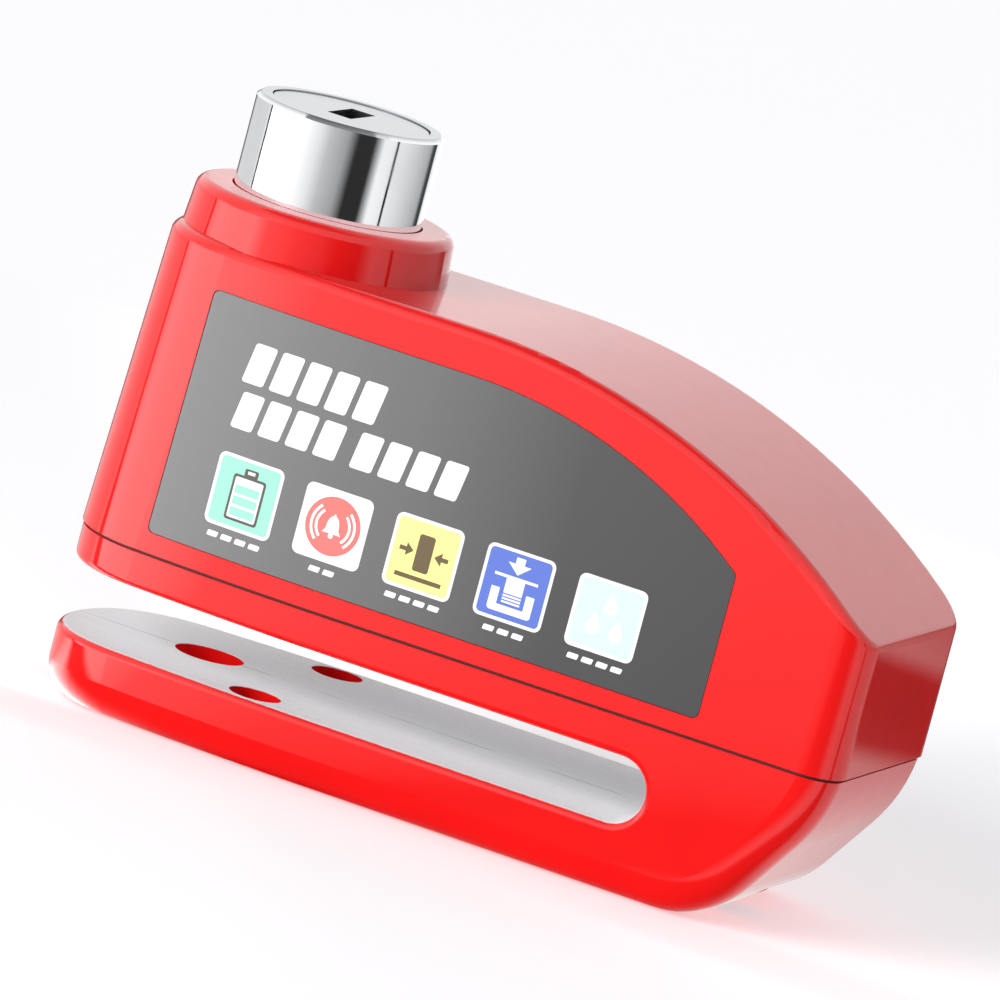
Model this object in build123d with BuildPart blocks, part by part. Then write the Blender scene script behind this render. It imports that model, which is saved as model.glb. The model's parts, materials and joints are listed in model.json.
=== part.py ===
from build123d import *
import math
import os

# Disc brake lock with a push-down lock cylinder, a locking pin and a built-in siren.
# Millimetres. The origin is on the axis of the locking pin, at the bottom face of the lower jaw.
# +X points to the block behind the disc slot, +Y to the back of the lock, +Z up.

# Clearances
running_clearance = 0.08
seat_clearance = 0.05
pocket_clearance = 0.3
latch_clearance = 0.35

# Lock cylinder and pin
barrel_radius = 10.75
pin_radius = 3.5
pin_recess = 0.2
pin_engagement = 2.7
sleeve_wall = 1.57

# Jaws, disc slot and parting line
jaw_thickness = 8.0
slot_height = 7.5
upper_jaw_thickness = 4.17
slot_rim_radius = 0.8
parting_slope = 0.0035
gasket_thickness = 0.4
gasket_inset = 0.35

# Upper shell
shell_height = 35.73
shell_wall = 2.2
shell_overhang = 0.25
shell_rim_radius = 1.3
top_arc_start = 26.0
top_arc_drop = 20.1
nose_lean = 1.7
boss_height = 5.3
boss_wall = 4.45
boss_rim_radius = 1.3
boss_draft = 5.0
knob_rest_height = 0.3

# Outline from above
rear_reach = 79.05
sleeve_gap = 0.8
nose_spare = 1.7
flank_spare = 1.2
shoulder_x = 20.0
nose_arc_radius = 22.0
flank_arc_radius = 200.0
nose_corner_radius = 12.0
rear_corner_radius = 4.0
rear_end_radius = 18.0
rear_end_height = 21.5
rear_end_angle = 34.0
rear_foot_radius = 12.0
slot_to_rear = 20.15
block_wall = 3.0

# Screws
front_screw_x = 10.9
screw_to_flank = 4.3
rear_screw_to_rear = 12.05
screw_radius = 1.5
screw_head_radius = 2.8
screw_head_height = 1.8
front_screw_length = 8.0
rear_screw_length = 18.0
screw_hole_radius = 3.0
access_depth = 5.0
driver_hole_radius = 1.7
rear_head_depth = 7.0
post_radius = 3.4

# Worked out from the driving sizes
sleeve_bore = barrel_radius + running_clearance
sleeve_radius = sleeve_bore + sleeve_wall
half_width = sleeve_radius + sleeve_gap + shell_wall + flank_spare
nose_reach = sleeve_radius + sleeve_gap + shell_wall + nose_spare
slot_top = jaw_thickness + slot_height
parting_z = slot_top + upper_jaw_thickness
top_z = parting_z + shell_height
boss_radius = barrel_radius + boss_wall
boss_top = top_z + boss_height
slot_end = rear_reach - slot_to_rear
front_screw_y = half_width - screw_to_flank
rear_screw_x = rear_reach - rear_screw_to_rear
top_arc_length = rear_reach + shell_overhang - top_arc_start
top_arc_radius = (top_arc_length**2 + top_arc_drop**2) / (2 * top_arc_drop)
travel = pin_recess + slot_height + pin_engagement
beyond = 5.0


def parting_height(x):
    return parting_z + parting_slope * x


def top_height(x, inset=0.0):
    # Height of the shell's top at x, moved down into the shell by inset.
    if x <= top_arc_start:
        return top_z - inset
    radius = top_arc_radius - inset
    return top_z - top_arc_radius + math.sqrt(radius**2 - (x - top_arc_start) ** 2)


def block(x, y, z, mode=Mode.ADD):
    # A box between two limits along each axis.
    with Locations(((x[0] + x[1]) / 2, (y[0] + y[1]) / 2, (z[0] + z[1]) / 2)):
        Box(x[1] - x[0], y[1] - y[0], z[1] - z[0], mode=mode)


def rod_x(x, y, z, radius, mode=Mode.ADD):
    with Locations(Location((x[0], y, z), (0, 90, 0))):
        Cylinder(radius, x[1] - x[0], align=(Align.CENTER, Align.CENTER, Align.MIN), mode=mode)


def rod_y(x, y, z, radius, mode=Mode.ADD):
    with Locations(Location((x, y[0], z), (-90, 0, 0))):
        Cylinder(radius, y[1] - y[0], align=(Align.CENTER, Align.CENTER, Align.MIN), mode=mode)


def rod_z(x, y, z, radius, mode=Mode.ADD):
    with Locations((x, y, z[0])):
        Cylinder(radius, z[1] - z[0], align=(Align.CENTER, Align.CENTER, Align.MIN), mode=mode)


def draw_outline(plane, grow=0.0, nose=nose_reach, corner=0.0):
    # The lock's outline from above: a nose arc, two long flank arcs and a straight rear block.
    left = nose + grow
    width = half_width + grow
    right = rear_reach + grow
    nose_radius = nose_arc_radius + grow
    flank_radius = flank_arc_radius + grow
    nose_centre = nose_radius - left
    flank_centre = width - flank_radius
    across = shoulder_x - nose_centre
    distance = math.hypot(across, flank_centre)
    along = (nose_radius**2 - flank_radius**2 + distance**2) / (2 * distance)
    aside = math.sqrt(nose_radius**2 - along**2)
    meet_x = nose_centre + (along * across + aside * flank_centre) / distance
    meet_y = (along * flank_centre - aside * across) / distance
    flank_x = (meet_x + shoulder_x) / 2
    flank_y = flank_centre + math.sqrt(flank_radius**2 - (flank_x - shoulder_x) ** 2)
    with BuildSketch(plane) as outline:
        with BuildLine():
            ThreePointArc((meet_x, -meet_y), (-left, 0), (meet_x, meet_y))
            ThreePointArc((meet_x, meet_y), (flank_x, flank_y), (shoulder_x, width))
            Line((shoulder_x, width), (right, width))
            Line((right, width), (right, -width))
            Line((right, -width), (shoulder_x, -width))
            ThreePointArc((shoulder_x, -width), (flank_x, -flank_y), (meet_x, -meet_y))
        make_face()
        fillet(outline.vertices().group_by(Axis.X)[0], nose_corner_radius + grow)
        if corner > 0:
            fillet(outline.vertices().group_by(Axis.X)[-1], corner + grow)
    return outline.sketch


def draw_between(low, high):
    # A side view of the space between the parting line moved by low and by high.
    left = -nose_reach - beyond
    right = rear_reach + beyond
    with BuildSketch(Plane.XZ) as side:
        with BuildLine():
            Polyline(
                (left, parting_height(left) + low),
                (right, parting_height(right) + low),
                (right, parting_height(right) + high),
                (left, parting_height(left) + high),
                close=True,
            )
        make_face()
    return side.sketch


def draw_shell_side(inset=0.0, floor=0.0):
    # The shell from the side: parting line, flat top, long falling arc and upright rear face.
    left = -nose_reach - beyond
    right = rear_reach + shell_overhang - inset
    middle = (top_arc_start + right) / 2
    with BuildSketch(Plane.XZ) as side:
        with BuildLine():
            Line((left, parting_height(left) + floor), (right, parting_height(right) + floor))
            Line((right, parting_height(right) + floor), (right, top_height(right, inset)))
            ThreePointArc(
                (right, top_height(right, inset)),
                (middle, top_height(middle, inset)),
                (top_arc_start, top_z - inset),
            )
            Line((top_arc_start, top_z - inset), (left, top_z - inset))
            Line((left, top_z - inset), (left, parting_height(left) + floor))
        make_face()
    return side.sketch


def save(builder, label):
    builder.part.label = label
    export_step(builder.part, f"parts/{label}.step")


os.makedirs("parts", exist_ok=True)

# Pin bushing and its seat
pad_height = 1.7
flange_height = 1.5
flange_radius = pin_radius + 4.0
bushing_radius = pin_radius + 2.0
lip_height = 0.5
lip_clearance = 0.3
pad_top = parting_z + pad_height
flange_top = pad_top + flange_height

with BuildPart() as pin_bushing:
    rod_z(0, 0, (slot_top + lip_height, pad_top), bushing_radius)
    rod_z(0, 0, (pad_top, flange_top), flange_radius)
    rod_z(0, 0, (0, flange_top), pin_radius + running_clearance, Mode.SUBTRACT)
    chamfer(pin_bushing.edges().filter_by(GeomType.CIRCLE).group_by(Axis.Z)[-1], 0.3)
save(pin_bushing, "pin_bushing")

# Lower body
rear_curve_x = rear_reach - rear_end_radius
rear_arc_x = rear_curve_x + rear_end_radius * math.cos(math.radians(rear_end_angle))
rear_arc_z = rear_end_height - rear_end_radius * math.sin(math.radians(rear_end_angle))
rear_foot_x = rear_arc_x - rear_arc_z * math.tan(math.radians(rear_end_angle))
rear_lid_drop = rear_end_height - parting_height(rear_reach) + gasket_thickness / 2
rear_lid_angle = math.degrees(math.asin(rear_lid_drop / rear_end_radius))
slot_radius = slot_height / 2
rear_post_top = parting_height(rear_screw_x) - pocket_clearance
rear_post_foot = 6.0
rear_post_radius = 4.4
pin_hole_radius = pin_radius + 0.5
front_screw_spots = [(front_screw_x, -front_screw_y), (front_screw_x, front_screw_y)]
front_head_top = slot_top + screw_head_height + pocket_clearance

with BuildPart() as lower_body:
    extrude(draw_outline(Plane.XY), amount=top_z)
    with BuildSketch(Plane.XZ) as side:
        left = -nose_reach - beyond
        lid = -gasket_thickness / 2
        with BuildLine():
            Line((left, 0), (rear_foot_x, 0))
            Line((rear_foot_x, 0), (rear_arc_x, rear_arc_z))
            rear_sweep = rear_end_angle - rear_lid_angle
            rear_centre = (rear_curve_x, rear_end_height)
            rear_arc = CenterArc(rear_centre, rear_end_radius, -rear_end_angle, rear_sweep)
            Line(rear_arc @ 1, (left, parting_height(left) + lid))
            Line((left, parting_height(left) + lid), (left, 0))
        make_face()
        fillet(side.vertices().sort_by_distance((rear_foot_x, 0, 0))[0], rear_foot_radius)
    extrude(amount=half_width + beyond, both=True, mode=Mode.INTERSECT)
    # The rounding runs along the bottom of both flanks, round the nose and up the rear corners.
    bottom = lower_body.edges().filter_by(lambda e: e.center().Z < 0.01)
    rear = lower_body.edges().filter_by(
        lambda e: e.center().X > rear_curve_x
        and abs(abs(e.center().Y) - half_width) < 0.01
        and e.bounding_box().min.Z < rear_end_height + 0.01
        and e.bounding_box().max.X < rear_reach + 0.01
    )
    lengthwise = [e for e in bottom + rear if abs(e.tangent_at(0.5).Y) < 0.99 or e.center().X < 0]
    fillet(lengthwise, rear_corner_radius)
    # Disc slot, open to the left and round at its closed end
    with BuildSketch(Plane.XZ):
        with Locations((slot_end - slot_radius, jaw_thickness + slot_radius)):
            Circle(slot_radius)
            Rectangle(slot_end + nose_reach + beyond, slot_height, align=(Align.MAX, Align.CENTER))
    extrude(amount=half_width + beyond, both=True, mode=Mode.SUBTRACT)
    rim = lower_body.edges().filter_by(
        lambda e: e.bounding_box().min.Z > jaw_thickness - 0.01
        and e.bounding_box().max.Z < slot_top + 0.01
        and not (abs(e.tangent_at(0.5).Y) > 0.99 and abs(e.center().Y) < 1 and e.center().X > 0)
    )
    fillet(rim, slot_rim_radius)
    # Raised pad that carries the sleeve and the bushing
    rod_z(0, 0, (slot_top + 1, pad_top), sleeve_radius)
    # Hollow in the block behind the slot, with a post for the rear screw
    pocket_left = slot_end + block_wall
    with BuildSketch(Plane.XZ):
        with Locations((rear_curve_x, rear_end_height)):
            Circle(rear_end_radius - block_wall)
            Rectangle(rear_end_radius - block_wall, beyond, align=(Align.MIN, Align.MIN))
        with Locations((pocket_left, 0)):
            Rectangle(rear_reach, top_z, align=(Align.MIN, Align.MIN), mode=Mode.INTERSECT)
    extrude(amount=half_width - block_wall, both=True, mode=Mode.SUBTRACT)
    rod_z(rear_screw_x, 0, (rear_post_foot, rear_post_top), rear_post_radius)
    # Holes for the locking pin, the bushing and the screws. The front screws go in through the
    # slot, from a recess in the lower jaw, and are turned through a small hole below it.
    rod_z(0, 0, (0, jaw_thickness), pin_hole_radius, Mode.SUBTRACT)
    rod_z(0, 0, (jaw_thickness, pad_top), pin_radius + lip_clearance, Mode.SUBTRACT)
    rod_z(0, 0, (slot_top + lip_height, pad_top), bushing_radius + seat_clearance, Mode.SUBTRACT)
    for x, y in front_screw_spots:
        rod_z(x, y, (jaw_thickness - access_depth, jaw_thickness), screw_hole_radius, Mode.SUBTRACT)
        rod_z(x, y, (0, jaw_thickness), driver_hole_radius, Mode.SUBTRACT)
        rod_z(x, y, (slot_top, front_head_top), screw_hole_radius, Mode.SUBTRACT)
        rod_z(x, y, (slot_top, top_z), screw_radius + seat_clearance, Mode.SUBTRACT)
    rod_z(rear_screw_x, 0, (0, rear_head_depth), screw_hole_radius + 0.1, Mode.SUBTRACT)
    rod_z(rear_screw_x, 0, (0, top_z), screw_radius + seat_clearance, Mode.SUBTRACT)
save(lower_body, "lower_body")

# Upper shell
nose_to_label = 11.9
label_to_rear = 16.55
label_left = nose_to_label - nose_reach
label_right = rear_reach - label_to_rear
label_bottom = parting_z + 2.53
label_top = top_z - 5.0
label_arc_start = 27.5
label_drop = 11.75
label_arc_length = label_right - label_arc_start
label_arc_radius = (label_arc_length**2 + label_drop**2) / (2 * label_drop)
label_corner_radius = 0.8
label_side_lean = 0.6
label_thickness = 0.3
label_sink = 0.06
label_depth = 0.4
label_gap = 0.08

ring_cord_radius = 0.85
ring_radius = barrel_radius + 0.1 + ring_cord_radius
sleeve_top = top_z + 1.4
ring_groove_radius = ring_radius + ring_cord_radius + seat_clearance
ring_z = boss_top - 1.75
boss_bore = barrel_radius + 0.2

front_post_height = 14.0
rear_post_bottom = parting_height(rear_screw_x) + pocket_clearance
rear_post_height = 15.0
pilot_radius = screw_radius + seat_clearance
rib_half = 1.0

board_front = 3.0
board_thickness = 1.6
board_back = board_front + board_thickness
board_left = sleeve_radius + 3.8
board_right = rear_screw_x - post_radius - 0.9
board_screw_spots = [(board_left + 4.3, parting_z + 26.7), (board_right - 3.7, parting_z + 7.7)]
board_screw_radius = 0.8
board_post_radius = 2.2
inner_width = half_width - shell_wall

siren_x = board_left + 23.3
siren_z = parting_z + 16.7
siren_radius = 12.4
sound_hole_radius = 1.0
sound_hole_pitch = 4.5


def draw_label(grow=0.0):
    # The label from the front; its top edge falls like the shell's top.
    left = label_left - grow
    right = label_right + grow
    low = label_bottom - grow
    high = label_top + grow
    radius = label_arc_radius + grow
    middle = (label_arc_start + right) / 2

    def edge_height(x):
        return high - radius + math.sqrt(radius**2 - (x - label_arc_start) ** 2)

    with BuildSketch(Plane.XZ) as label:
        with BuildLine():
            Line((left, low), (right, low))
            Line((right, low), (right, edge_height(right)))
            ThreePointArc(
                (right, edge_height(right)), (middle, edge_height(middle)), (label_arc_start, high)
            )
            Line((label_arc_start, high), (left + label_side_lean, high))
            Line((left + label_side_lean, high), (left, low))
        make_face()
        fillet(label.vertices().filter_by(lambda v: v.X != label_arc_start), label_corner_radius)
    return label.sketch


def label_skin(sink, depth, grow=0.0):
    # A skin of the front flank, from sink to depth below its outer face, in the label's outline.
    with BuildPart() as skin:
        with BuildSketch(Plane.XY.offset(label_bottom - 2)):
            add(draw_outline(Plane.XY, shell_overhang - sink))
            add(draw_outline(Plane.XY, shell_overhang - depth), mode=Mode.SUBTRACT)
        extrude(amount=label_top - label_bottom + 4)
        extrude(draw_label(grow), amount=half_width + beyond, mode=Mode.INTERSECT)
    return skin.part


head_reach = nose_reach - nose_lean
shell_cavity_outline = draw_outline(Plane.XY, -shell_wall, head_reach, rear_corner_radius)

with BuildPart() as shell_cavity:
    extrude(shell_cavity_outline, amount=top_z)
    cavity_side = draw_shell_side(shell_wall + shell_overhang, -2)
    extrude(cavity_side, amount=half_width, both=True, mode=Mode.INTERSECT)

with BuildPart() as upper_shell:
    foot_plane = Plane.XY.offset(parting_z - 1)
    head_plane = Plane.XY.offset(top_z + 1)
    foot = draw_outline(foot_plane, shell_overhang, nose_reach, rear_corner_radius)
    head = draw_outline(head_plane, shell_overhang, head_reach, rear_corner_radius)
    loft([foot, head], ruled=True)
    shell_side = draw_shell_side(0, gasket_thickness / 2)
    extrude(shell_side, amount=half_width + beyond, both=True, mode=Mode.INTERSECT)
    crown = upper_shell.faces().filter_by(lambda f: f.normal_at().Z > 0.2)
    rims = [e for e in crown.edges() if len([f for f in crown if e in f.edges()]) == 1]
    fillet(rims, shell_rim_radius)
    # Round boss that guides the lock cylinder
    with BuildSketch(Plane.XY.offset(top_z - shell_wall)):
        Circle(boss_radius + shell_wall * math.tan(math.radians(boss_draft)))
    extrude(amount=boss_height + shell_wall, taper=boss_draft)
    fillet(upper_shell.edges().filter_by(GeomType.CIRCLE).sort_by(Axis.Z)[-1], boss_rim_radius)
    add(shell_cavity.part, mode=Mode.SUBTRACT)
    add(label_skin(-label_gap, label_depth, label_gap), mode=Mode.SUBTRACT)
    # Seat for the sleeve, bore for the barrel and groove for the wiper ring
    rod_z(0, 0, (parting_z, sleeve_top + seat_clearance), sleeve_radius + seat_clearance, Mode.SUBTRACT)
    rod_z(0, 0, (parting_z, boss_top + 1), boss_bore, Mode.SUBTRACT)
    rod_z(0, 0, (ring_z - ring_cord_radius, ring_z + ring_cord_radius), ring_groove_radius, Mode.SUBTRACT)
    # Posts for the front screws and the rear screw
    for x, y in front_screw_spots:
        floor = parting_height(x + post_radius) + gasket_thickness / 2
        rod_z(x, y, (floor, floor + front_post_height), post_radius)
        rod_z(x, y, (floor, floor + front_post_height - 1), pilot_radius, Mode.SUBTRACT)
    rear_post_end = rear_post_bottom + rear_post_height
    rod_z(rear_screw_x, 0, (rear_post_bottom, rear_post_end), post_radius)
    block((rear_screw_x, rear_reach - 1), (-rib_half, rib_half), (rear_post_bottom + 1, rear_post_end))
    rod_z(rear_screw_x, 0, (rear_post_bottom, rear_post_end - 1), pilot_radius, Mode.SUBTRACT)
    # Posts for the circuit board on the back wall, and the sound holes in front of the siren
    for x, z in board_screw_spots:
        rod_y(x, (board_back, half_width), z, board_post_radius)
        rod_y(x, (board_back, inner_width), z, board_screw_radius + seat_clearance, Mode.SUBTRACT)
    through_wall = (inner_width - 1, half_width + beyond)
    rod_y(siren_x, through_wall, siren_z, sound_hole_radius, Mode.SUBTRACT)
    for step in range(6):
        angle = math.radians(60 * step)
        hole_x = siren_x + sound_hole_pitch * math.cos(angle)
        hole_z = siren_z + sound_hole_pitch * math.sin(angle)
        rod_y(hole_x, through_wall, hole_z, sound_hole_radius, Mode.SUBTRACT)
save(upper_shell, "upper_shell")

with BuildPart() as front_label:
    add(label_skin(label_sink, label_sink + label_thickness))
save(front_label, "front_label")

with BuildPart() as parting_gasket:
    with BuildSketch(Plane.XY.offset(parting_z - 2)):
        add(draw_outline(Plane.XY, -gasket_inset, nose_reach, rear_corner_radius))
        add(shell_cavity_outline, mode=Mode.SUBTRACT)
        for x, y in front_screw_spots:
            with Locations((x, y)):
                Circle(screw_radius + pocket_clearance, mode=Mode.SUBTRACT)
    extrude(amount=5)
    gap = gasket_thickness / 2 - 0.02
    extrude(draw_between(-gap, gap), amount=half_width + beyond, both=True, mode=Mode.INTERSECT)
save(parting_gasket, "parting_gasket")

# Screws
socket_width = 2.0
socket_depth = 1.1


def socket_screw(x, y, head_bottom, length):
    # A socket head cap screw pointing up, its head's face at head_bottom.
    rod_z(x, y, (head_bottom, head_bottom + screw_head_height), screw_head_radius)
    rod_z(x, y, (head_bottom, head_bottom + screw_head_height + length), screw_radius)
    with BuildSketch(Plane.XY.offset(head_bottom)) as socket:
        with Locations((x, y)):
            RegularPolygon(socket_width / 2, 6, major_radius=False)
    extrude(socket.sketch, amount=socket_depth, mode=Mode.SUBTRACT)


with BuildPart() as front_screws:
    for x, y in front_screw_spots:
        head_z = front_head_top - screw_head_height - seat_clearance
        socket_screw(x, y, head_z, front_screw_length)
save(front_screws, "front_screws")

with BuildPart() as rear_screw:
    head_z = rear_head_depth - screw_head_height - seat_clearance
    socket_screw(rear_screw_x, 0, head_z, rear_screw_length)
save(rear_screw, "rear_screw")

# Lock cylinder
spring_wire = 1.1
spring_radius = 6.2
spring_turns = 4.5
barrel_lift = 2.1
spring_recess = 3.5
barrel_chamfer = 0.5
barrel_bottom = flange_top + barrel_lift + travel
barrel_top = boss_top + knob_rest_height + travel
cross_pin_radius = 1.0
cross_pin_z = barrel_bottom + 5.8
cross_pin_hole_radius = cross_pin_radius + 0.03
pin_rise = 8.0

# Latch across the barrel, driven by an eccentric on the end of the plug
latch_rise = 9.0
latch_height = 3.0
latch_width = 6.4
latch_tail = 5.5
latch_tip = 10.15
latch_travel = 1.6
eccentric_radius = 0.9
eccentric_throw = latch_travel / math.sqrt(2)
latch_z = barrel_bottom + latch_rise
latch_slit = (latch_z - 0.1, latch_z + latch_height + 0.1)

# Key plug with its retaining clip
plug_radius = 5.5
plug_floor = barrel_bottom + 13.6
plug_head_radius = 8.9
plug_head_height = 1.9
plug_head_sink = 0.15
clip_z = barrel_bottom + 15.0
clip_thickness = 0.8
clip_groove_radius = 4.6
clip_width = 12.8
clip_reach = math.sqrt((barrel_radius - 0.35) ** 2 - clip_width**2 / 4)
clip_tail = 5.8
keyway_width = 2.9
keyway_length = 7.5
keyway_floor = barrel_bottom + 16.6

# Pin tumblers on the left of the keyway
tumbler_count = 4
tumbler_pitch = 2.6
tumbler_radius = 0.95
tumbler_hole_radius = 1.0
first_tumbler_z = barrel_bottom + 17.25
tumbler_heights = [first_tumbler_z + tumbler_pitch * n for n in range(tumbler_count)]
driver_length = 2.0
cover_thickness = 0.9
cover_width = 2.8
cover_depth = cover_thickness + 0.15

# Ramp that moves the arming switch as the barrel goes down
plunger_rise = 2.5
plunger_travel = 1.6
plunger_radius = 1.3
plunger_gap = 0.06
plunger_z = barrel_bottom + plunger_rise
ramp_top = plunger_z + travel
ramp_slope = plunger_travel / travel

with BuildPart() as barrel_sleeve:
    rod_z(0, 0, (pad_top, sleeve_top), sleeve_radius)
    rod_z(0, 0, (pad_top, sleeve_top), sleeve_bore, Mode.SUBTRACT)
    # The latch catches in the upper window when the barrel is up, and in the lower when it is down.
    window_width = latch_width / 2 + latch_clearance
    for drop in (0, travel):
        low = latch_z - latch_clearance - drop
        high = latch_z + latch_height + latch_clearance - drop
        block((-window_width, window_width), (0, sleeve_radius + 1), (low, high), Mode.SUBTRACT)
    rod_x((0, sleeve_radius + 1), 0, plunger_z, plunger_radius + 0.15, Mode.SUBTRACT)
save(barrel_sleeve, "barrel_sleeve")

with BuildPart() as wiper_ring:
    with BuildSketch(Plane.XZ):
        with Locations((ring_radius, ring_z)):
            Circle(ring_cord_radius - 0.02)
    revolve(axis=Axis.Z)
save(wiper_ring, "wiper_ring")

with BuildPart() as lock_barrel:
    rod_z(0, 0, (barrel_bottom, barrel_top), barrel_radius)
    chamfer(lock_barrel.edges().filter_by(GeomType.CIRCLE).sort_by(Axis.Z)[-1], barrel_chamfer)
    # Bores: plug and its head, eccentric, locking pin and its cross pin, spring
    rod_z(0, 0, (plug_floor, barrel_top), plug_radius + running_clearance, Mode.SUBTRACT)
    head_seat = barrel_top - plug_head_sink - plug_head_height
    rod_z(0, 0, (head_seat, barrel_top), plug_head_radius + 2 * running_clearance, Mode.SUBTRACT)
    rod_z(0, 0, (latch_z, plug_floor), eccentric_throw + eccentric_radius + 0.2, Mode.SUBTRACT)
    rod_z(0, 0, (barrel_bottom, barrel_bottom + pin_rise + 0.1), pin_radius + seat_clearance, Mode.SUBTRACT)
    rod_z(0, 0, (barrel_bottom, barrel_bottom + spring_recess), spring_radius + spring_wire, Mode.SUBTRACT)
    rod_y(0, (-barrel_radius, barrel_radius), cross_pin_z, cross_pin_hole_radius, Mode.SUBTRACT)
    # Slits for the latch and the clip, both open at the back
    latch_half = latch_width / 2 + 0.1
    block((-latch_half, latch_half), (-latch_tail - 0.2, barrel_radius), latch_slit, Mode.SUBTRACT)
    clip_half = clip_width / 2 + 0.1
    clip_slit = (clip_z - 0.05, clip_z + clip_thickness + 0.05)
    block((-clip_half, clip_half), (-clip_tail - 0.1, barrel_radius), clip_slit, Mode.SUBTRACT)
    # Tumbler bores and the groove of the strip that closes them
    for z in tumbler_heights:
        rod_x((-barrel_radius, 0), 0, z, tumbler_hole_radius, Mode.SUBTRACT)
    groove_z = (tumbler_heights[0] - 1.3, tumbler_heights[-1] + 1.3)
    groove_y = cover_width / 2 + 0.05
    block((-barrel_radius, -barrel_radius + cover_depth), (-groove_y, groove_y), groove_z, Mode.SUBTRACT)
    # Flat ramp, deepest at the bottom
    with BuildSketch(Plane.XZ):
        ramp_foot = barrel_radius - ramp_slope * (ramp_top - barrel_bottom + 1)
        with BuildLine():
            Polyline(
                (ramp_foot, barrel_bottom - 1),
                (barrel_radius + 1, barrel_bottom - 1),
                (barrel_radius + 1, ramp_top),
                (barrel_radius, ramp_top),
                close=True,
            )
        make_face()
    extrude(amount=barrel_radius, both=True, mode=Mode.SUBTRACT)
save(lock_barrel, "lock_barrel")

with BuildPart() as locking_pin:
    pin_tip = slot_top + pin_recess
    rod_z(0, 0, (pin_tip, barrel_bottom + pin_rise), pin_radius)
    chamfer(locking_pin.edges().filter_by(GeomType.CIRCLE).sort_by(Axis.Z)[0], 0.8)
    rod_y(0, (-barrel_radius, barrel_radius), cross_pin_z, cross_pin_hole_radius, Mode.SUBTRACT)
save(locking_pin, "locking_pin")

with BuildPart() as cross_pin:
    reach = barrel_radius - 0.6
    rod_y(0, (-reach, reach), cross_pin_z, cross_pin_radius)
    rod_y(0, (-reach, reach), cross_pin_z, cross_pin_radius / 2, Mode.SUBTRACT)
save(cross_pin, "cross_pin")

with BuildPart() as key_plug:
    rod_z(0, 0, (plug_floor + 0.1, barrel_top - plug_head_sink - 0.5), plug_radius)
    rod_z(0, 0, (head_seat + 0.02, barrel_top - plug_head_sink), plug_head_radius)
    # Eccentric, an eighth of a turn before the middle of its stroke
    eccentric_at = (eccentric_throw / math.sqrt(2), -eccentric_throw / math.sqrt(2))
    rod_z(*eccentric_at, (latch_z + 0.4, plug_floor + 0.2), eccentric_radius)
    keyway_x = (-keyway_width / 2, keyway_width / 2)
    keyway_y = (-keyway_length / 2, keyway_length / 2)
    block(keyway_x, keyway_y, (keyway_floor, barrel_top), Mode.SUBTRACT)
    with BuildSketch(Plane.XY.offset(clip_z - 0.05)):
        Circle(plug_radius + 1)
        Circle(clip_groove_radius, mode=Mode.SUBTRACT)
    extrude(amount=clip_thickness + 0.1, mode=Mode.SUBTRACT)
    for z in tumbler_heights:
        rod_x((-plug_radius - 1, 0), 0, z, tumbler_hole_radius, Mode.SUBTRACT)
save(key_plug, "key_plug")

with BuildPart() as plug_clip:
    block((-clip_width / 2, clip_width / 2), (-clip_tail, clip_reach), (clip_z, clip_z + clip_thickness))
    rod_z(0, 0, (clip_z, clip_z + clip_thickness), clip_groove_radius + running_clearance, Mode.SUBTRACT)
    mouth = clip_groove_radius + running_clearance
    block((-mouth, mouth), (-clip_tail, 0), (clip_z, clip_z + clip_thickness), Mode.SUBTRACT)
save(plug_clip, "plug_clip")

with BuildPart() as key_pins:
    for z in tumbler_heights:
        rod_x((-plug_radius + 0.05, -keyway_width / 2 - 0.1), 0, z, tumbler_radius)
    chamfer(key_pins.edges().filter_by(GeomType.CIRCLE).group_by(Axis.X)[-1], 0.5)
save(key_pins, "key_pins")

driver_left = -plug_radius - running_clearance - 0.05 - driver_length
with BuildPart() as driver_pins:
    for z in tumbler_heights:
        rod_x((driver_left, driver_left + driver_length), 0, z, tumbler_radius)
save(driver_pins, "driver_pins")

cover_left = -barrel_radius + cover_depth - cover_thickness
with BuildPart() as chamber_cover:
    low = tumbler_heights[0] - 1.25
    high = tumbler_heights[-1] + 1.25
    block((cover_left, cover_left + cover_thickness), (-cover_width / 2, cover_width / 2), (low, high))
save(chamber_cover, "chamber_cover")


def coil(start, direction, length, radius, wire, turns):
    # A compression spring: a round wire along a helix, with both ends inside the given length.
    wire_radius = wire / 2
    shift = Vector(*direction) * wire_radius
    with BuildPart() as spring:
        with BuildLine():
            path = Helix((length - wire) / turns, length - wire, radius, Vector(*start) + shift, direction)
        with BuildSketch(Plane(path @ 0, z_dir=path % 0)):
            Circle(wire_radius)
        sweep(path=path, is_frenet=True)
    return spring.part


driver_spring_radius = 0.65
driver_spring_wire = 0.22
driver_spring_turns = 4

with BuildPart() as driver_springs:
    length = driver_left - (cover_left + cover_thickness) - 0.1
    for z in tumbler_heights:
        start = (driver_left - 0.05 - length, 0, z)
        add(coil(start, (1, 0, 0), length, driver_spring_radius, driver_spring_wire, driver_spring_turns))
save(driver_springs, "driver_springs")

with BuildPart() as return_spring:
    length = barrel_bottom + spring_recess - flange_top - 2 * seat_clearance
    start = (0, 0, flange_top + seat_clearance)
    add(coil(start, (0, 0, 1), length, spring_radius, spring_wire, spring_turns))
save(return_spring, "return_spring")

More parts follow.
